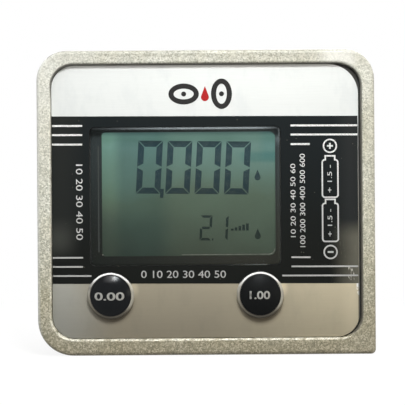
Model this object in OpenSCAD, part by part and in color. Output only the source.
// Oval gear flow meter: a cast housing with a battery powered display in front
// and a measuring chamber with two oval gears behind.
// X runs to the right, Y to the back and Z up. The origin is the middle of the
// underside. Depths are counted from the front face of the rim.

/* [Housing] */
// Depth of the display head
head_depth = 21.5; // [21:0.5:26]
// Radius of the two upper corners of the face
corner_r = 7.2; // [5:0.1:9]
// Radius of the bottom left corner, rounder than the upper ones
low_corner_r = 8.7; // [5:0.1:9.5]
// Radius of the bottom right corner, which is nearly square above the battery cap
seat_corner_r = 1.2; // [1.1:0.1:3]
// Radius on the front and back edges of the head
edge_r = 1.0; // [0.4:0.1:1.1]
// Width of the rim at the sides and the top of the face
rim_w = 3.4; // [3.2:0.1:4.4]
// Width of the rim below the face
rim_low_w = 4.0; // [3.2:0.1:4.4]
// Radius of the rim's inner edge
rim_inner_r = 0.6; // [0.3:0.1:0.8]
// Radius of the recess corners inside the rim
recess_corner_r = 5.6; // [4:0.1:6.5]
// Depth of the printed face below the rim
label_depth = 1.2; // [0.8:0.1:1.6]

/* [Electronics bay] */
// Wall left of the bay
bay_side_wall = 6.0; // [5:0.1:7]
// Wall above and below the bay
bay_end_wall = 6.5; // [5.5:0.1:7]
// Depth of the bay floor
bay_depth = 18.4; // [17.5:0.1:19]
// Wall between the bay and the battery tube
bay_wall = 3.2; // [2.6:0.1:4]
// Radius of the bay corners
bay_corner_r = 2.0; // [1:0.1:2.5]
// Width of the sensor well in the bay floor
well_w = 19; // [18:0.5:22]
// Height of the sensor well
well_h = 13; // [12:0.5:15]
// Thickness of the wall between the sensor well and the gears
well_wall = 2.2; // [1.6:0.1:3]

/* [Battery tube] */
// Diameter of a battery cell
cell_d = 12.0; // [11.6:0.1:12.2]
// Length of a battery cell with its terminal
cell_l = 30.2; // [29:0.1:31]
// Diameter of the positive terminal
cell_nub_d = 4.0; // [3.5:0.1:5]
// Height of the positive terminal
cell_nub_h = 0.7; // [0.5:0.1:1]
// Gap between a cell and the tube all round
cell_gap = 0.3; // [0.2:0.05:0.5]
// Wall right of the battery tube
battery_side_wall = 4.7; // [4:0.1:5.5]
// Wall in front of the battery tube
battery_front_wall = 1.4; // [1.2:0.1:2]
// Wall above the battery tube
battery_roof = 2.6; // [2:0.1:4]
// Height of the lower cell's negative end above the underside
cell_floor = 10.0; // [9.5:0.1:12]
// Thickness of the insulating disc above the cells
insulator_t = 0.5; // [0.4:0.1:0.8]
// Thickness of the top contact strip
contact_t = 0.5; // [0.4:0.1:0.6]

/* [Battery cap] */
// Diameter of the cap's thread
cap_thread_d = 14.0; // [13.6:0.1:14.4]
// Diameter of the cap's head
cap_head_d = 16.0; // [15.6:0.1:16.6]
// Thickness of the cap's head
cap_head_t = 2.0; // [1.8:0.1:2.4]
// How far the cap's head lies inside the underside
cap_recess = 0.4; // [0.3:0.1:0.8]
// Length of the cap's threaded neck
cap_neck_l = 5.2; // [4.6:0.1:6]
// Depth of the coin slot
slot_depth = 1.1; // [0.8:0.1:1.4]
// Width of the coin slot
slot_w = 2.0; // [1.6:0.1:2.4]
// Wire of the contact spring
spring_wire = 0.6; // [0.5:0.05:0.7]

/* [Front plate and window] */
// Thickness of the printed face foil
label_t = 0.5; // [0.3:0.1:0.7]
// Extra gap at the right edge of the face foil, which is cut short
label_short = 0.35; // [0:0.05:0.4]
// Thickness of the front plate
plate_t = 2.5; // [2.3:0.1:3]
// Height of the window's lower edge above the underside
window_low = 21.7; // [21.5:0.1:23]
// How far the window reaches past the glass on each side
window_reach = 0.95; // [0.8:0.05:1.1]
// How far the window reaches below the glass
window_reach_low = 0.5; // [0.4:0.1:1]
// How far the window reaches above the glass
window_reach_high = 0.1; // [0.1:0.1:1]
// Printed border left of the visible glass
border_left = 2.5; // [1.5:0.1:3]
// Printed border right of the visible glass
border_right = 1.1; // [1:0.1:3]
// Printed border below the visible glass
border_low = 2.2; // [1:0.1:3]
// Printed border above the visible glass
border_high = 0.7; // [0.7:0.1:3]
// Thickness of the window pane
window_t = 2.3; // [2:0.1:2.6]
// How far the window stands out of the printed face
window_proud = 0.3; // [0.1:0.1:0.6]
// Thickness of the window's gasket
gasket_t = 0.2; // [0.1:0.05:0.3]
// Width of the gasket's frame
gasket_w = 0.6; // [0.4:0.1:0.7]

/* [Display] */
// Width of the liquid crystal glass
lcd_w = 44.6; // [38:0.2:52]
// Height of the liquid crystal glass
lcd_h = 33.2; // [28:0.2:39]
// Thickness of the liquid crystal glass
lcd_t = 2.0; // [1.6:0.1:2.4]
// Wall of the frame that holds the glass
lcd_frame_wall = 1.0; // [0.8:0.1:1.1]
// Room between the display's frame and the left wall of the bay
display_room_left = 6.45; // [5.5:0.05:8]
// Room between the display's frame and the right wall of the bay
display_room_right = 2.05; // [1.8:0.05:4]
// Least room between the display's frame and the upper wall of the bay
display_room_high = 9; // [8.5:0.1:10.5]
// Distance from the front plate to the circuit board
board_front_gap = 4.8; // [4.6:0.1:5.4]
// Width of the rubber contact strips
strip_w = 2.0; // [1.5:0.1:2.4]

/* [Circuit board] */
// Thickness of the circuit board
board_t = 1.6; // [1:0.2:2]
// Gap between the circuit board and the bay wall
board_gap = 1.2; // [0.8:0.1:1.5]
// Diameter of the bosses under the front plate
boss_d = 5.2; // [4.8:0.1:5.4]
// Diameter of the small screws
small_screw_d = 2.0; // [1.8:0.1:2.2]
// Head diameter of the small screws
small_head_d = 3.8; // [3.4:0.1:4]
// Head height of the small screws
small_head_h = 1.2; // [1:0.1:1.3]
// Length of the small screws under the head
small_screw_l = 5.0; // [4:0.5:5.5]
// Thickness of the sensor board
sensor_board_t = 1.0; // [0.8:0.1:1.2]
// Diameter of a reed switch
reed_d = 2.3; // [2:0.1:2.4]
// Length of a reed switch
reed_l = 12; // [10:0.5:13]

/* [Buttons] */
// Diameter of a button
button_d = 9.7; // [9:0.1:10]
// How far a button's dome stands out of the rim's face
button_proud = 1.2; // [0.8:0.1:1.6]
// Height of a button's dome
dome_h = 1.5; // [1.2:0.1:1.8]
// Travel of a button
button_travel = 1.0; // [0.6:0.1:1]
// Left button, right of the window's left edge
reset_inset = 5.0; // [4.8:0.1:6]
// Right button, left of the window's right edge
cal_inset = 5.2; // [5:0.1:6]
// Height of both buttons above the underside
button_z = 14.5; // [14.2:0.1:15]
// Wall of a button's collar
collar_wall = 0.42; // [0.35:0.01:0.5]
// How far a collar's lip reaches over the face
collar_lip = 0.4; // [0.3:0.1:0.6]
// How far a collar stands out of the printed face
collar_proud = 0.8; // [0.6:0.1:1]
// How far a button's flange reaches past the button
flange_reach = 1.3; // [1:0.1:1.4]
// Thickness of a button's flange
flange_t = 1.0; // [0.8:0.1:1.1]
// Thickness of the rubber mat
mat_t = 0.6; // [0.5:0.1:0.7]

/* [Measuring chamber] */
// Width of the chamber block
block_w = 52; // [51:0.5:56]
// Depth from the head's back to the front of the gears' chamber
block_web = 7.5; // [7:0.5:10]
// Mean radius of an oval gear, half the distance of the shafts
gear_mean_r = 12.25; // [12.25:0.05:12.5]
// How far the oval's long radius is over the mean
gear_swing = 2.4; // [1.8:0.1:2.4]
// Number of teeth on each gear
teeth = 26; // [22:4:26]
// How far a tooth reaches past the rolling outline
tooth_reach = 0.25; // [0.1:0.05:0.3]
// Depth of a tooth below the rolling outline
tooth_depth = 1.35; // [1.1:0.05:1.5]
// Length of the gears along their shafts
gear_l = 16.6; // [14:0.2:18]
// Gap between a gear's ends and the chamber
gear_end_gap = 0.2; // [0.1:0.05:0.3]
// Gap between the tips of the teeth and the chamber wall
chamber_gap = 0.3; // [0.2:0.05:0.4]
// Diameter of the gear shafts
shaft_d = 5.0; // [4.5:0.1:5.4]
// Length of a shaft in its seat in the housing
shaft_seat = 5.8; // [4:0.1:6]
// Wall of a gear's bush
bush_wall = 1.0; // [0.8:0.1:1.2]
// Diameter of a magnet
magnet_d = 4.0; // [3:0.1:4.2]
// Length of a magnet
magnet_l = 3.0; // [2:0.1:4]

/* [Ports] */
// Diameter of the pipe thread, a half inch parallel thread
port_d = 20.96; // [20.6:0.01:21.2]
// Diameter of a port boss
boss_port_d = 29.6; // [28:0.1:30.6]
// Distance from a port's face to the face's outer edge
port_inset = 2.0; // [1.5:0.1:3]
// Diameter of the flow passage
passage_d = 11; // [9:0.5:11.5]
// Corner width of the spanner that has to clear the head
spanner_d = 31.2; // [30:0.1:31.6]
// Diameter of the strainer disc
strainer_d = 15; // [14:0.2:15.2]
// Thickness of the strainer disc
strainer_t = 0.8; // [0.6:0.1:1]
// Diameter of a strainer hole
strainer_hole_d = 1.3; // [1:0.1:1.5]

/* [Rear cover] */
// Thickness of the rear cover
cover_t = 8.0; // [7.6:0.1:10]
// Corner radius of the chamber block and the cover
block_corner_r = 4.0; // [3:0.1:5]
// Diameter of the cover screws
cover_screw_d = 4.0; // [3.6:0.1:4.2]
// Head diameter of the cover screws
cover_head_d = 7.0; // [6.6:0.1:7.2]
// Length of the cover screws' thread in the housing
cover_thread_l = 10; // [8:0.5:12]
// Thickness of the chamber seal's cord
seal_d = 2.0; // [1.8:0.1:2.2]
// Distance from the chamber wall to the middle of the seal
seal_reach = 2.5; // [2.3:0.1:2.8]

/* [Fits] */
// Running clearance of a shaft or button in its bore, on the radius
running_gap = 0.05; // [0.03:0.01:0.08]
// Gap of loosely fitted plates, on each side
plate_gap = 0.15; // [0.1:0.05:0.2]
// Gap behind a resting button's flange
rest_gap = 0.2; // [0.1:0.05:0.3]
// How much larger a through hole is than its screw
hole_gap = 0.4; // [0.3:0.1:0.6]

/* [Hidden] */
$fn = 64;
cut = 1; // overrun of cuts past a face

// Display, whose play is the gap between the front plate, the frame and the glass
lcd_gap = 0.2;
frame_reach = lcd_gap + lcd_frame_wall;
lcd_low = window_low + window_reach_low;
lcd_high = lcd_low + lcd_h;

// Heights, which follow the two cells that stand in line, or a taller display
battery_top = cell_floor + 2 * cell_l + contact_t + insulator_t;
display_top = lcd_high + frame_reach + display_room_high;
face_h = max(battery_top + battery_roof, display_top + bay_end_wall);
mid_z = face_h / 2;

// Widths, which follow the display and the battery beside it
tube_d = cell_d + 2 * cell_gap;
bay_w = display_room_left + lcd_w + 2 * frame_reach + display_room_right;
face_w = bay_side_wall + bay_w + bay_wall + tube_d + battery_side_wall;
left_x = -face_w / 2;
right_x = face_w / 2;

// Depths from the rim's front face
label_back = label_depth + label_t;
plate_back = label_back + plate_t;
board_front = plate_back + board_front_gap;
board_back = board_front + board_t;
chamber_front = head_depth + block_web;
chamber_l = gear_l + 2 * gear_end_gap;
chamber_back = chamber_front + chamber_l;
cover_back = chamber_back + cover_t;
port_t = max(head_depth + spanner_d / 2 + hole_gap, chamber_front + chamber_l / 2);
front_y = (button_proud - cover_back) / 2;

// Battery tube
battery_x = right_x - battery_side_wall - tube_d / 2;
battery_t = plate_back + battery_front_wall + tube_d / 2;
cap_seat_z = cap_recess + cap_head_t;
neck_gap = 0.05; // play of the cap's neck in the tube, on the radius
counterbore_d = cap_head_d + 2 * plate_gap;
neck_wall = 1.7;
cap_floor_t = 1.6; // metal between the coin slot and the spring
cap_seal_d = 1.1;
cap_seal_z = cap_seat_z + cap_seal_d;

// Recess of the face
recess_left = left_x + rim_w;
recess_right = right_x - rim_w;
recess_low = rim_low_w;
recess_high = face_h - rim_w;

// Electronics bay
bay_left = left_x + bay_side_wall;
bay_right = bay_left + bay_w;
bay_low = bay_end_wall;
bay_high = face_h - bay_end_wall;
boss_bite = 0.6; // how far a boss is let into the bay's wall
boss_inset = boss_d / 2 - boss_bite;
boss_slot_inset = 5.4; // upper right boss, which leaves the contact strip's slot free
boss_shift = 10.85; // lower right boss, left of the right button
tab_w = 3.0; // width of the contact strip
slot_drop = 5.5;
slot_low = bay_high - slot_drop; // lower end of the contact strip's slot

// Window and display
lcd_left = bay_left + display_room_left + frame_reach;
lcd_right = lcd_left + lcd_w;
window_left = lcd_left - window_reach;
window_right = lcd_right + window_reach;
window_high = lcd_high + window_reach_high;
window_front = label_depth - window_proud;
window_back = window_front + window_t;
gasket_back = window_back + gasket_t;
window_corner_r = 1.2;
lcd_front = plate_back + lcd_gap;

// Buttons
reset_x = window_left + reset_inset;
cal_x = window_right - cal_inset;
flange_front = plate_back + rest_gap;
flange_back = flange_front + flange_t;
collar_in_d = button_d + 2 * running_gap;
collar_d = collar_in_d + 2 * collar_wall;
collar_head_d = collar_d + 2 * collar_lip;
mat_front = board_front - mat_t;
mat_dome_front = flange_back + button_travel + rest_gap / 2;
mat_dome_d = 9.0;
mat_wall = 0.7;
pill_d = 4.0;

// Measuring chamber
shaft_spacing = 2 * gear_mean_r;
shaft_zs = [mid_z - gear_mean_r, mid_z + gear_mean_r];
block_half = block_w / 2;
chamber_r = gear_mean_r + gear_swing + tooth_reach + chamber_gap;
seal_r = chamber_r + seal_reach;
bush_in_d = shaft_d + 2 * running_gap;
bush_d = bush_in_d + 2 * bush_wall;
magnet_inset = 3.0; // how far the magnets lie inside the gear's mean radius
magnet_r = gear_mean_r - magnet_inset;
tip_share = 0.06; // half the width of a tooth's tip, in tooth pitches
root_share = 0.16; // half the width of a tooth gap's floor, in tooth pitches

// Ports
port_x = right_x - port_inset;
port_l = port_x - block_half;
strainer_ring_t = 1.2;
strainer_ring_wall = 1.4;
strainer_pitch = 2.1;
strainer_row_play = 0.3; // lets the outermost holes of the round pattern in, in pitches
strainer_x = strainer_t + strainer_ring_t - block_half; // inner face of the strainer disc

// Rear cover
screw_inset = 5.2;
mid_screw_inset = 4.4;
mid_screw_drop = 14.75;
cover_head_h = cover_screw_d;
squeeze_share = 0.8; // what is left of the seal's thickness in its groove
seal_depth = squeeze_share * seal_d;
cover_inset = 0.3; // how far the cover lies inside the block's outline
field_wall = 1.0; // distance from the chamber wall in to the cover's sunk field
field_depth = 1.2;
arrow_w = 2.8;
arrow_head_share = 1.5; // half the width of the arrow's head, in widths of its shaft
rib_t = 3.0;
rib_l = 9.5;
rib_end = 7.5;

function cover_screws() = [
    for (side = [-1, 1], level = [-1, 1])
        [side * (block_half - screw_inset), mid_z + level * (mid_z - screw_inset)],
    for (side = [-1, 1], level = [-1, 1])
        [side * (block_half - mid_screw_inset), mid_z + level * mid_screw_drop]
];

// Bosses that take the front plate's screws
plate_screws = [
    [bay_left + boss_inset, bay_low + boss_inset],
    [cal_x - boss_shift, bay_low + boss_inset],
    [bay_left + boss_inset, bay_high - boss_inset],
    [bay_right - boss_slot_inset, bay_high - boss_inset]
];

cross_share = 0.125; // width of a small screw's cross slot, in diameters of its head

// Posts that carry the circuit board
post_d = 5.0;
post_step = 6.0;
post_shift = 12.25; // lower post, right of the left button
post_drop = 1.0; // lower post, below the buttons
board_screws_at = [
    [reset_x + post_shift, button_z - post_drop],
    [window_left + post_d / 2, bay_high - post_step],
    [cal_x - post_step / 2, bay_high - post_step]
];

// Rubber mat, whose strip leaves a wall around the hole of the lower post
mat_hole_d = boss_d + 2 * plate_gap;
mat_half_h = post_drop + mat_hole_d / 2 + mat_wall;

// Chips, sensor board and its pins
chip_w = 10;
chip_t = 1.4;
chip_step = 11; // distance of the large chips from the sensor pins
reed_gap = 0.2; // gap between a reed switch and the floor of the well
sensor_back = chamber_front - well_wall - reed_d - reed_gap;
pins = 4;
pin_d = 0.7;
pin_step = 2.5;

// A flat outline drawn in X and Z, as thick as from one depth to another
module slab(t0, t1) {
    translate([0, front_y + t1, 0]) rotate([90, 0, 0]) linear_extrude(t1 - t0) children();
}

// A round bar that runs front to back
module bar(x, z, t0, t1, d) {
    translate([x, front_y + t0, z]) rotate([-90, 0, 0]) cylinder(h = t1 - t0, d = d);
}

// A profile of radius and depth, turned about an axis that runs front to back
module turned(x, z) {
    translate([x, front_y, z]) rotate([-90, 0, 0]) rotate_extrude() children();
}

// A box between two places in X, Z and depth
module block(x0, x1, z0, z1, t0, t1) {
    translate([x0, front_y + t0, z0]) cube([x1 - x0, t1 - t0, z1 - z0]);
}

// An outline with a radius for each corner: low left, low right, high right, high left
module outline(x0, x1, z0, z1, r) {
    polygon([
        [x0 + r[0], z0], [x1 - r[1], z0], [x1, z0 + r[1]], [x1, z1 - r[2]],
        [x1 - r[2], z1], [x0 + r[3], z1], [x0, z1 - r[3]], [x0, z0 + r[0]]
    ]);
    translate([x0 + r[0], z0 + r[0]]) circle(r[0]);
    translate([x1 - r[1], z0 + r[1]]) circle(r[1]);
    translate([x1 - r[2], z1 - r[2]]) circle(r[2]);
    translate([x0 + r[3], z1 - r[3]]) circle(r[3]);
}

function same(r) = [r, r, r, r];
head_corners = [low_corner_r, seat_corner_r, corner_r, corner_r];

// Profile of a round disc with rounded front and back edges
module puck_profile(r, t0, t1, e) {
    translate([0, t0]) square([r - e, t1 - t0]);
    translate([0, t0 + e]) square([r, t1 - t0 - 2 * e]);
    intersection() {
        union() {
            translate([r - e, t0 + e]) circle(e);
            translate([r - e, t1 - e]) circle(e);
        }
        translate([0, t0]) square([r, t1 - t0]);
    }
}

// The display head, with rounded corners and rounded front and back edges
module head_block() {
    e = edge_r;
    c = head_corners;
    slab(0, head_depth)
        outline(left_x + e, right_x - e, e, face_h - e, [for (r = c) r - e]);
    slab(e, head_depth - e) outline(left_x, right_x, 0, face_h, c);
    places = [
        [left_x + c[0], c[0]], [right_x - c[1], c[1]],
        [right_x - c[2], face_h - c[2]], [left_x + c[3], face_h - c[3]]
    ];
    for (i = [0 : 3])
        turned(places[i][0], places[i][1]) puck_profile(c[i], 0, head_depth, e);
    for (t = [e, head_depth - e]) {
        for (row = [[places[0], places[1], e], [places[3], places[2], face_h - e]])
            translate([row[0][0], front_y + t, row[2]])
                rotate([0, 90, 0]) cylinder(h = row[1][0] - row[0][0], r = e);
        for (row = [[places[0], places[3], left_x + e], [places[1], places[2], right_x - e]])
            translate([row[2], front_y + t, row[0][1]])
                cylinder(h = row[1][1] - row[0][1], r = e);
    }
}

// The outline of the two overlapping gear rooms
module chamber_outline(r) {
    for (z = shaft_zs) translate([0, z]) circle(r);
}

// The block behind the head, with its port bosses and webs
module chamber_block() {
    slab(head_depth - cut, chamber_back)
        outline(-block_half, block_half, 0, face_h, same(block_corner_r));
    for (side = [-1, 1]) {
        // the boss starts at the block's side, which leaves the rear cover free
        translate([side * block_half, front_y + port_t, mid_z])
            rotate([0, side * 90, 0]) cylinder(h = port_l, d = boss_port_d);
        // a web joins the boss to the head
        mirror([side > 0 ? 0 : 1, 0, 0])
            block(block_half - cut, port_x - rib_t, mid_z - rib_end, mid_z + rib_end,
                head_depth - cut, port_t);
        for (z = [rib_end, face_h - rib_end])
            mirror([side > 0 ? 0 : 1, 0, 0])
                translate([0, 0, z - rib_t / 2])
                    linear_extrude(rib_t)
                        polygon([
                            [block_half - cut, front_y + head_depth - cut],
                            [block_half + rib_l, front_y + head_depth - cut],
                            [block_half + rib_l, front_y + head_depth],
                            [block_half, front_y + head_depth + rib_l],
                            [block_half - cut, front_y + head_depth + rib_l]
                        ]);
    }
}

// The recess's outline less a gap all round, and less a further one on the right
module recess_outline(gap, short) {
    outline(recess_left + gap, recess_right - gap - short, recess_low + gap, recess_high - gap,
        same(recess_corner_r - gap));
}

// Profile that rounds the rim's inner edge, outwards from the wall of the recess
module rounding_profile(wall) {
    e = rim_inner_r;
    difference() {
        translate([wall - cut, -cut]) square([cut + e, cut + e]);
        translate([wall + e, e]) circle(e);
    }
}

// What the rounded inner edge takes off the rim: a straight stretch on each side and a turned corner
module rim_rounding() {
    r = recess_corner_r;
    wide = recess_right - recess_left - 2 * r;
    high = recess_high - recess_low - 2 * r;
    for (x = [recess_left + r, recess_right - r], z = [recess_low + r, recess_high - r])
        turned(x, z) rounding_profile(r);
    straights = [
        [recess_right, recess_low + r, 0, high], [recess_left, recess_high - r, 180, high],
        [recess_left + r, recess_low, 90, wide], [recess_right - r, recess_high, -90, wide]
    ];
    for (s = straights)
        translate([s[0], front_y, s[1]]) rotate([0, s[2], 0]) linear_extrude(s[3]) rounding_profile(0);
}

module body_casting() {
    color([0.73, 0.72, 0.66]) union() {
        difference() {
            union() {
                head_block();
                chamber_block();
            }
            // recess of the face and the plate behind it
            slab(-cut, plate_back) recess_outline(0, 0);
            rim_rounding();
            // electronics bay
            slab(plate_back - cut, bay_depth)
                outline(bay_left, bay_right, bay_low, bay_high, same(bay_corner_r));
            // sensor well
            block(-well_w / 2, well_w / 2, mid_z - well_h / 2, mid_z + well_h / 2,
                bay_depth - cut, chamber_front - well_wall);
            // battery tube, thread and seat of the cap
            translate([battery_x, front_y + battery_t, 0]) {
                translate([0, 0, cap_seat_z]) cylinder(h = battery_top - cap_seat_z, d = tube_d);
                cylinder(h = cell_floor - cell_gap, d = cap_thread_d);
                translate([0, 0, -cut]) cylinder(h = cap_seat_z + cut, d = counterbore_d);
            }
            // slot for the top contact strip
            block(bay_right - cut, battery_x, slot_low, battery_top,
                board_back - plate_gap, board_back + tab_w + plate_gap);
            // gear chamber
            slab(chamber_front, chamber_back + cut) chamber_outline(chamber_r);
            for (z = shaft_zs) bar(0, z, chamber_front - shaft_seat, chamber_front + cut, shaft_d);
            // flow passages and ports
            translate([-block_half - cut, front_y + port_t, mid_z])
                rotate([0, 90, 0]) cylinder(h = block_w + 2 * cut, d = passage_d);
            for (side = [-1, 1])
                translate([side * block_half, front_y + port_t, mid_z])
                    rotate([0, side * 90, 0]) cylinder(h = port_l + cut, d = port_d);
            // seat of the strainer
            translate([strainer_x, front_y + port_t, mid_z])
                rotate([0, -90, 0]) cylinder(h = block_half + strainer_x + cut, d = strainer_d);
            // groove of the chamber seal
            seal_ring(seal_d + 2 * running_gap, chamber_back - seal_depth, chamber_back + cut);
            for (p = cover_screws())
                bar(p[0], p[1], chamber_back - cover_thread_l - cut, chamber_back + cut,
                    cover_screw_d + 2 * running_gap);
        }
        // bosses for the front plate and posts for the circuit board
        difference() {
            union() {
                for (p = plate_screws) bar(p[0], p[1], plate_back, bay_depth + cut, boss_d);
                for (p = board_screws_at) bar(p[0], p[1], board_back, bay_depth + cut, post_d);
            }
            for (p = plate_screws)
                bar(p[0], p[1], plate_back - cut, plate_back + small_screw_l,
                    small_screw_d + 2 * running_gap);
            for (p = board_screws_at)
                bar(p[0], p[1], board_back - cut, board_front + small_screw_l + plate_gap,
                    small_screw_d + 2 * running_gap);
        }
    }
}

// A racetrack ring round both gear rooms, of square section
module seal_ring(w, t0, t1) {
    slab(t0, t1) difference() {
        racetrack(seal_r + w / 2);
        racetrack(seal_r - w / 2);
    }
}

module racetrack(r) {
    chamber_outline(r);
    translate([-r, shaft_zs[0]]) square([2 * r, shaft_spacing]);
}

module front_plate() {
    color([0.13, 0.14, 0.15]) difference() {
        slab(label_back, plate_back) recess_outline(plate_gap, 0);
        slab(label_back - cut, gasket_back) window_outline(plate_gap);
        slab(gasket_back - cut, plate_back + cut) view_outline();
        for (x = [reset_x, cal_x]) bar(x, button_z, label_back - cut, plate_back + cut, collar_d);
        for (p = plate_screws) {
            bar(p[0], p[1], label_back - cut, plate_back + cut, small_screw_d + hole_gap);
            bar(p[0], p[1], label_back - cut, label_back + small_head_h + running_gap,
                small_head_d + hole_gap);
        }
    }
}

module window_outline(gap) {
    outline(window_left - gap, window_right + gap, window_low - gap, window_high + gap,
        same(window_corner_r + gap));
}

module view_outline() {
    outline(window_left + border_left, window_right - border_right, window_low + border_low,
        window_high - border_high, same(window_corner_r));
}

// A small screw that points to the back, with a cross slot in its head
module small_screw(x, z, t) {
    difference() {
        union() {
            bar(x, z, t, t + small_head_h, small_head_d);
            bar(x, z, t, t + small_head_h + small_screw_l - plate_gap, small_screw_d);
        }
        for (a = [0, 90])
            translate([x, front_y + t, z]) rotate([0, a, 0])
                cube([small_head_d / 2, small_head_h, cross_share * small_head_d], center = true);
    }
}

module front_plate_screws() {
    color([0.7, 0.7, 0.72]) for (p = plate_screws)
        intersection() {
            small_screw(p[0], p[1], label_back + running_gap);
            bar(p[0], p[1], label_back, plate_back + small_screw_l - plate_gap, small_head_d + cut);
        }
}

module face_label() {
    color([0.78, 0.78, 0.76]) difference() {
        slab(label_depth, label_back) recess_outline(plate_gap, label_short);
        slab(label_depth - cut, label_back + cut) window_outline(plate_gap);
        for (x = [reset_x, cal_x]) bar(x, button_z, label_depth - cut, label_back + cut, collar_d);
    }
}

module display_window() {
    color([0.35, 0.42, 0.4, 0.4]) slab(window_front, window_back) window_outline(0);
}

module window_gasket() {
    color([0.1, 0.1, 0.1]) slab(window_back, gasket_back) difference() {
        window_outline(0);
        outline(window_left + gasket_w, window_right - gasket_w, window_low + gasket_w,
            window_high - gasket_w, same(window_corner_r));
    }
}

module lcd_rect(gap) {
    translate([lcd_left - gap, lcd_low - gap]) square([lcd_w + 2 * gap, lcd_h + 2 * gap]);
}

module lcd_glass() {
    color([0.36, 0.46, 0.42]) slab(lcd_front, lcd_front + lcd_t) lcd_rect(0);
}

module lcd_frame() {
    color([0.1, 0.1, 0.11]) slab(lcd_front, board_front) difference() {
        lcd_rect(frame_reach);
        lcd_rect(lcd_gap);
    }
}

module lcd_backlight() {
    inset = strip_w + lcd_gap;
    color([0.85, 0.88, 0.8])
        block(lcd_left, lcd_right, lcd_low + inset, lcd_high - inset, lcd_front + lcd_t, board_front);
}

module contact_strips() {
    color([0.2, 0.2, 0.22]) for (z = [lcd_low, lcd_high - strip_w])
        block(lcd_left, lcd_right, z, z + strip_w, lcd_front + lcd_t, board_front);
}

module circuit_board() {
    color([0.05, 0.3, 0.15]) difference() {
        block(bay_left + board_gap, bay_right - board_gap, bay_low + board_gap, bay_high - board_gap,
            board_front, board_back);
        for (p = plate_screws)
            bar(p[0], p[1], board_front - cut, board_back + cut, boss_d + 2 * board_gap);
        for (p = board_screws_at)
            bar(p[0], p[1], board_front - cut, board_back + cut, small_screw_d + hole_gap);
    }
}

// Chips on the back of the circuit board
module board_chips() {
    color([0.08, 0.08, 0.09]) {
        for (x = [-chip_step, chip_step])
            block(x - chip_w / 2, x + chip_w / 2, mid_z - chip_w / 2, mid_z + chip_w / 2,
                board_back, board_back + chip_t);
        block(-chip_step - chip_w / 2, -chip_step, mid_z + chip_step, mid_z + chip_step + chip_w / 2,
            board_back, board_back + chip_t);
    }
}

module board_screws() {
    color([0.7, 0.7, 0.72]) for (p = board_screws_at) small_screw(p[0], p[1], board_front - small_head_h);
}

// The small board in the sensor well, its pins and its two reed switches
module sensor_board() {
    color([0.05, 0.3, 0.15])
        block(-well_w / 2 + plate_gap, well_w / 2 - plate_gap, mid_z - well_h / 2 + plate_gap,
            mid_z + well_h / 2 - plate_gap, sensor_back - sensor_board_t, sensor_back);
}

module sensor_pins() {
    color([0.8, 0.7, 0.4]) for (i = [1 : pins])
        bar((i - (pins + 1) / 2) * pin_step, mid_z, board_back, sensor_back - sensor_board_t, pin_d);
}

module reed_switches() {
    color([0.6, 0.75, 0.7]) for (side = [-1, 1])
        translate([-reed_l / 2, front_y + sensor_back + reed_d / 2, mid_z + side * well_h / 4])
            rotate([0, 90, 0]) cylinder(h = reed_l, d = reed_d);
}

// A push button: a dome on a skirt, with a flange behind the front plate
module push_button(x) {
    dome_r = (pow(button_d / 2, 2) + pow(dome_h, 2)) / (2 * dome_h);
    dome_edge = dome_h - button_proud;
    turned(x, button_z) {
        translate([0, dome_edge]) square([button_d / 2, flange_front - dome_edge]);
        translate([0, flange_front]) square([button_d / 2 + flange_reach, flange_t]);
        intersection() {
            translate([0, dome_edge - dome_h + dome_r]) circle(dome_r, $fn = 180);
            translate([0, -button_proud]) square([button_d / 2, dome_h]);
        }
    }
}

module reset_button() { color([0.07, 0.07, 0.07]) push_button(reset_x); }

module cal_button() { color([0.07, 0.07, 0.07]) push_button(cal_x); }

// The bright collar that guides a button through the front plate
module collar(x) {
    lip_r = collar_proud / 2;
    turned(x, button_z) {
        translate([collar_in_d / 2, label_depth - collar_proud + lip_r])
            square([collar_wall, plate_back - label_depth + collar_proud - lip_r]);
        translate([collar_in_d / 2, label_depth - collar_proud + lip_r])
            square([collar_wall + collar_lip, collar_proud - lip_r]);
        translate([collar_in_d / 2, label_depth - collar_proud])
            square([collar_wall + collar_lip - lip_r, lip_r]);
        intersection() {
            translate([collar_in_d / 2 + collar_wall + collar_lip - lip_r,
                label_depth - collar_proud + lip_r])
                circle(lip_r);
            translate([collar_in_d / 2, label_depth - collar_proud])
                square([collar_wall + collar_lip, collar_proud]);
        }
    }
}

module reset_collar() { color([0.85, 0.85, 0.84]) collar(reset_x); }

module cal_collar() { color([0.85, 0.85, 0.84]) collar(cal_x); }

// The rubber mat, with a hollow dome behind each button
module keypad_mat() {
    color([0.25, 0.25, 0.27]) {
        difference() {
            slab(mat_front, board_front) {
                translate([reset_x, button_z - mat_half_h]) square([cal_x - reset_x, 2 * mat_half_h]);
                for (x = [reset_x, cal_x]) translate([x, button_z]) circle(d = mat_dome_d);
            }
            for (x = [reset_x, cal_x])
                bar(x, button_z, mat_front - cut, board_front + cut, mat_dome_d - 2 * mat_wall);
            for (p = concat(plate_screws, board_screws_at))
                bar(p[0], p[1], mat_front - cut, board_front + cut, mat_hole_d);
        }
        for (x = [reset_x, cal_x])
            turned(x, button_z) {
                translate([mat_dome_d / 2 - mat_wall, mat_dome_front])
                    square([mat_wall, board_front - mat_dome_front]);
                translate([0, mat_dome_front]) square([mat_dome_d / 2, mat_wall]);
                translate([0, mat_dome_front]) square([pill_d / 2, mat_front - mat_dome_front]);
            }
    }
}

module battery_top_insulator() {
    color([0.9, 0.88, 0.8]) translate([battery_x, front_y + battery_t, battery_top - insulator_t])
        cylinder(h = insulator_t, d = cell_d);
}

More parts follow.
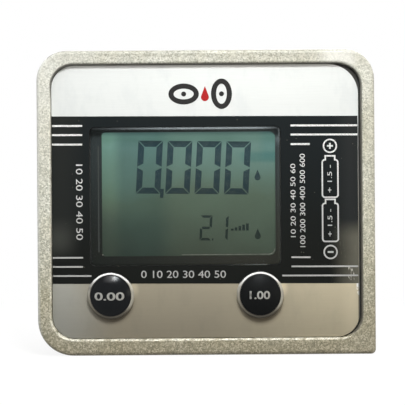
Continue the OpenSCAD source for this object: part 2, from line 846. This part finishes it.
// The strip runs from the upper cell through the slot and down to the circuit board
module battery_top_contact() {
    top = battery_top - insulator_t;
    leg_x = bay_right + plate_gap;
    foot_z = slot_low + plate_gap;
    color([0.8, 0.78, 0.7]) {
        translate([battery_x, front_y + battery_t, top - contact_t])
            cylinder(h = contact_t, d = cell_d - 2 * cell_gap);
        block(leg_x, battery_x, top - contact_t, top, board_back, board_back + tab_w);
        block(leg_x, leg_x + contact_t, foot_z, top, board_back, board_back + tab_w);
        block(bay_right - 2 * board_gap, leg_x + contact_t, foot_z, foot_z + contact_t,
            board_back, board_back + tab_w);
    }
}

// A battery cell with its negative end at a height
module cell(z) {
    translate([battery_x, front_y + battery_t, z]) {
        cylinder(h = cell_l - cell_nub_h, d = cell_d);
        cylinder(h = cell_l, d = cell_nub_d);
    }
}

module battery_cell_upper() { color([0.2, 0.35, 0.55]) cell(cell_floor + cell_l); }

module battery_cell_lower() { color([0.2, 0.35, 0.55]) cell(cell_floor); }

// The contact spring: one wire that climbs and narrows, swept along a cone
spring_curls = 4;
spring_rings = 12;
spring_sides = 6;
spring_low = cap_recess + slot_depth + cap_floor_t;
spring_top_d = 4.6;
spring_low_d = cap_thread_d - 2 * neck_wall - spring_wire - 2 * running_gap;
function spring_point(u) =
    let (a = 360 * spring_curls * u, r = (spring_low_d + (spring_top_d - spring_low_d) * u) / 2)
    [r * cos(a), r * sin(a), spring_low + spring_wire / 2 + (cell_floor - spring_low - spring_wire) * u];
function spring_ring(u) =
    let (a = 360 * spring_curls * u, c = spring_point(u))
    [for (i = [0 : spring_sides - 1])
        let (b = 360 * i / spring_sides)
        c + spring_wire / 2 * [cos(b) * cos(a), cos(b) * sin(a), sin(b)]];

// How near the wire comes to itself, which must stay over 0.4
spring_rise = (cell_floor - spring_low - spring_wire) / spring_curls;
spring_draw = (spring_low_d - spring_top_d) / 2 / spring_curls;
spring_self_gap = norm([spring_rise, spring_draw]) - spring_wire;
echo(spring_self_gap = spring_self_gap);

module battery_spring() {
    steps = spring_curls * spring_rings;
    rings = [for (k = [0 : steps]) each spring_ring(k / steps)];
    last = steps * spring_sides;
    sides = [
        for (k = [0 : steps - 1], i = [0 : spring_sides - 1])
            let (a = k * spring_sides + i, b = k * spring_sides + (i + 1) % spring_sides)
            each [[a, a + spring_sides, b], [b, a + spring_sides, b + spring_sides]]
    ];
    ends = [
        for (i = [1 : spring_sides - 2]) each [[0, i, i + 1], [last, last + i + 1, last + i]]
    ];
    color([0.75, 0.75, 0.77]) translate([battery_x, front_y + battery_t, 0])
        polyhedron(points = rings, faces = concat(sides, ends));
}

module battery_cap() {
    neck_d = cap_thread_d - 2 * neck_gap;
    color([0.6, 0.6, 0.58]) translate([battery_x, front_y + battery_t, 0]) difference() {
        union() {
            translate([0, 0, cap_recess]) cylinder(h = cap_head_t, d = cap_head_d);
            translate([0, 0, cap_recess]) cylinder(h = cap_head_t + cap_neck_l, d = neck_d);
        }
        translate([0, 0, spring_low]) cylinder(h = cap_head_t + cap_neck_l, d = neck_d - 2 * neck_wall);
        // groove of the seal
        translate([0, 0, cap_seat_z]) rotate_extrude()
            translate([neck_d / 2 - cap_seal_d, cap_seal_d / 2])
                square([cap_seal_d + cut, cap_seal_d + 2 * running_gap]);
        // coin slot
        translate([-cap_head_d / 2, -slot_w / 2, 0]) cube([cap_head_d, slot_w, cap_recess + slot_depth]);
    }
}

module battery_cap_seal() {
    seal_mid = cap_thread_d / 2 - neck_gap - cap_seal_d / 2;
    color([0.08, 0.08, 0.08])
        translate([battery_x, front_y + battery_t, cap_seal_z + running_gap])
            rotate_extrude() translate([seal_mid, 0]) circle((cap_seal_d - running_gap) / 2, $fn = 32);
}

// Rolling outline of an oval gear: the radius swings twice a turn about the mean
function oval_r(a) = gear_mean_r + gear_swing * cos(2 * a);
function tooth_points(i) = [
    for (p = [[-0.5, -tooth_depth], [root_share - 0.5, -tooth_depth], [-tip_share, tooth_reach],
              [tip_share, tooth_reach], [0.5 - root_share, -tooth_depth]])
        let (a = 360 * (i + p[0]) / teeth, r = oval_r(a) + p[1])
        [r * cos(a), r * sin(a)]
];

// An oval gear on its shaft, turned by an angle
module oval_gear(z, turn) {
    slab(chamber_front + gear_end_gap, chamber_back - gear_end_gap)
        translate([0, z]) difference() {
            rotate(turn) polygon([for (i = [0 : teeth - 1]) each tooth_points(i)]);
            circle(d = bush_d);
        }
}

module gear_with_pockets(z, turn) {
    difference() {
        oval_gear(z, turn);
        magnet_pair(z, turn, cut);
    }
}

// The two magnets in the front face of a gear
module magnet_pair(z, turn, overrun) {
    front = chamber_front + gear_end_gap;
    for (side = [-1, 1])
        bar(side * magnet_r * cos(turn), z + side * magnet_r * sin(turn), front - overrun,
            front + magnet_l, magnet_d);
}

module lower_oval_gear() { color([0.85, 0.85, 0.8]) gear_with_pockets(shaft_zs[0], 0); }

module upper_oval_gear() { color([0.75, 0.78, 0.85]) gear_with_pockets(shaft_zs[1], 90); }

module gear_bush(z) {
    difference() {
        bar(0, z, chamber_front + gear_end_gap, chamber_back - gear_end_gap, bush_d);
        bar(0, z, chamber_front, chamber_back, bush_in_d);
    }
}

module lower_gear_bush() { color([0.3, 0.3, 0.32]) gear_bush(shaft_zs[0]); }

module upper_gear_bush() { color([0.3, 0.3, 0.32]) gear_bush(shaft_zs[1]); }

module lower_gear_magnets() { color([0.65, 0.65, 0.68]) magnet_pair(shaft_zs[0], 0, 0); }

module upper_gear_magnets() { color([0.65, 0.65, 0.68]) magnet_pair(shaft_zs[1], 90, 0); }

module gear_shaft(z) {
    bar(0, z, chamber_front - shaft_seat, chamber_back + cover_t / 2 - plate_gap, shaft_d);
}

module lower_gear_shaft() { color([0.8, 0.8, 0.82]) gear_shaft(shaft_zs[0]); }

module upper_gear_shaft() { color([0.8, 0.8, 0.82]) gear_shaft(shaft_zs[1]); }

module chamber_seal() {
    color([0.1, 0.1, 0.1]) seal_ring(seal_d, chamber_back - seal_depth, chamber_back);
}

module rear_cover() {
    e = edge_r;
    half = block_half - cover_inset;
    r = block_corner_r - cover_inset;
    color([0.73, 0.72, 0.66]) union() {
        difference() {
            cover_block(half, r, e);
            for (p = cover_screws()) {
                bar(p[0], p[1], chamber_back - cut, cover_back + cut, cover_screw_d + hole_gap);
                bar(p[0], p[1], cover_back - cover_head_h - hole_gap, cover_back + cut,
                    cover_head_d + hole_gap);
            }
            for (z = shaft_zs)
                bar(0, z, chamber_back - cut, chamber_back + cover_t / 2, shaft_d + 2 * running_gap);
            // a sunk field that follows the two gear rooms
            slab(cover_back - field_depth, cover_back + cut) racetrack(chamber_r - field_wall);
        }
        // a round boss over each shaft, and the flow arrow between them
        for (z = shaft_zs) bar(0, z, cover_back - 2 * field_depth, cover_back, 2 * shaft_d);
        slab(cover_back - 2 * field_depth, cover_back) flow_arrow();
    }
}

// The cover's plate, with rounded corners and a rounded back edge
module cover_block(half, r, e) {
    low = cover_inset;
    high = face_h - cover_inset;
    slab(chamber_back, cover_back - e) outline(-half, half, low, high, same(r));
    slab(chamber_back, cover_back) outline(e - half, half - e, low + e, high - e, same(r - e));
    for (x = [r - half, half - r], z = [low + r, high - r])
        turned(x, z) {
            translate([r - e, cover_back - e]) intersection() {
                circle(e);
                square(e);
            }
            translate([0, chamber_back]) square([r - e, cover_t]);
        }
    for (z = [low + e, high - e])
        translate([r - half, front_y + cover_back - e, z])
            rotate([0, 90, 0]) cylinder(h = 2 * (half - r), r = e);
    for (x = [e - half, half - e])
        translate([x, front_y + cover_back - e, low + r]) cylinder(h = high - low - 2 * r, r = e);
}

// A plain arrow that shows which way the liquid flows
module flow_arrow() {
    half = chamber_r - 2 * arrow_w;
    wing = arrow_head_share * arrow_w;
    translate([-half, mid_z - arrow_w / 2]) square([2 * half - arrow_w, arrow_w]);
    polygon([[half - 2 * arrow_w, mid_z - wing], [half, mid_z], [half - 2 * arrow_w, mid_z + wing]]);
}

// Socket head screws of the rear cover
module rear_cover_screws() {
    head_back = cover_back - hole_gap;
    head_front = head_back - cover_head_h;
    color([0.6, 0.6, 0.62]) for (p = cover_screws()) difference() {
        union() {
            bar(p[0], p[1], head_front, head_back, cover_head_d);
            bar(p[0], p[1], chamber_back - cover_thread_l, head_front + cut, cover_screw_d);
        }
        translate([p[0], front_y + head_back - cover_head_h / 2, p[1]])
            rotate([-90, 0, 0]) cylinder(h = cover_head_h, d = cover_head_d / 2, $fn = 6);
    }
}

// A perforated disc at the bottom of the inlet, and the ring that holds it
module inlet_strainer() {
    r = strainer_d / 2 - running_gap;
    rows = floor((passage_d / 2 - strainer_hole_d / 2) / strainer_pitch);
    color([0.75, 0.75, 0.75])
        translate([strainer_x, front_y + port_t, mid_z]) rotate([0, -90, 0]) difference() {
            cylinder(h = strainer_t, r = r);
            for (i = [-rows : rows], j = [-rows : rows])
                if (norm([i, j]) <= rows + strainer_row_play)
                    translate([i * strainer_pitch, j * strainer_pitch, -cut])
                        cylinder(h = strainer_t + 2 * cut, d = strainer_hole_d, $fn = 24);
        }
}

module strainer_ring() {
    r = strainer_d / 2 - running_gap;
    color([0.8, 0.8, 0.82])
        translate([strainer_x - strainer_t, front_y + port_t, mid_z])
            rotate([0, -90, 0]) difference() {
                cylinder(h = strainer_ring_t, r = r);
                translate([0, 0, -cut]) cylinder(h = strainer_ring_t + 2 * cut, r = r - strainer_ring_wall);
            }
}

body_casting();
front_plate();
front_plate_screws();
face_label();
display_window();
window_gasket();
lcd_glass();
lcd_frame();
lcd_backlight();
contact_strips();
circuit_board();
board_chips();
board_screws();
sensor_board();
sensor_pins();
reed_switches();
reset_button();
cal_button();
reset_collar();
cal_collar();
keypad_mat();
battery_top_insulator();
battery_top_contact();
battery_cell_upper();
battery_cell_lower();
battery_spring();
battery_cap();
battery_cap_seal();
lower_oval_gear();
upper_oval_gear();
lower_gear_bush();
upper_gear_bush();
lower_gear_magnets();
upper_gear_magnets();
lower_gear_shaft();
upper_gear_shaft();
chamber_seal();
rear_cover();
rear_cover_screws();
inlet_strainer();
strainer_ring();
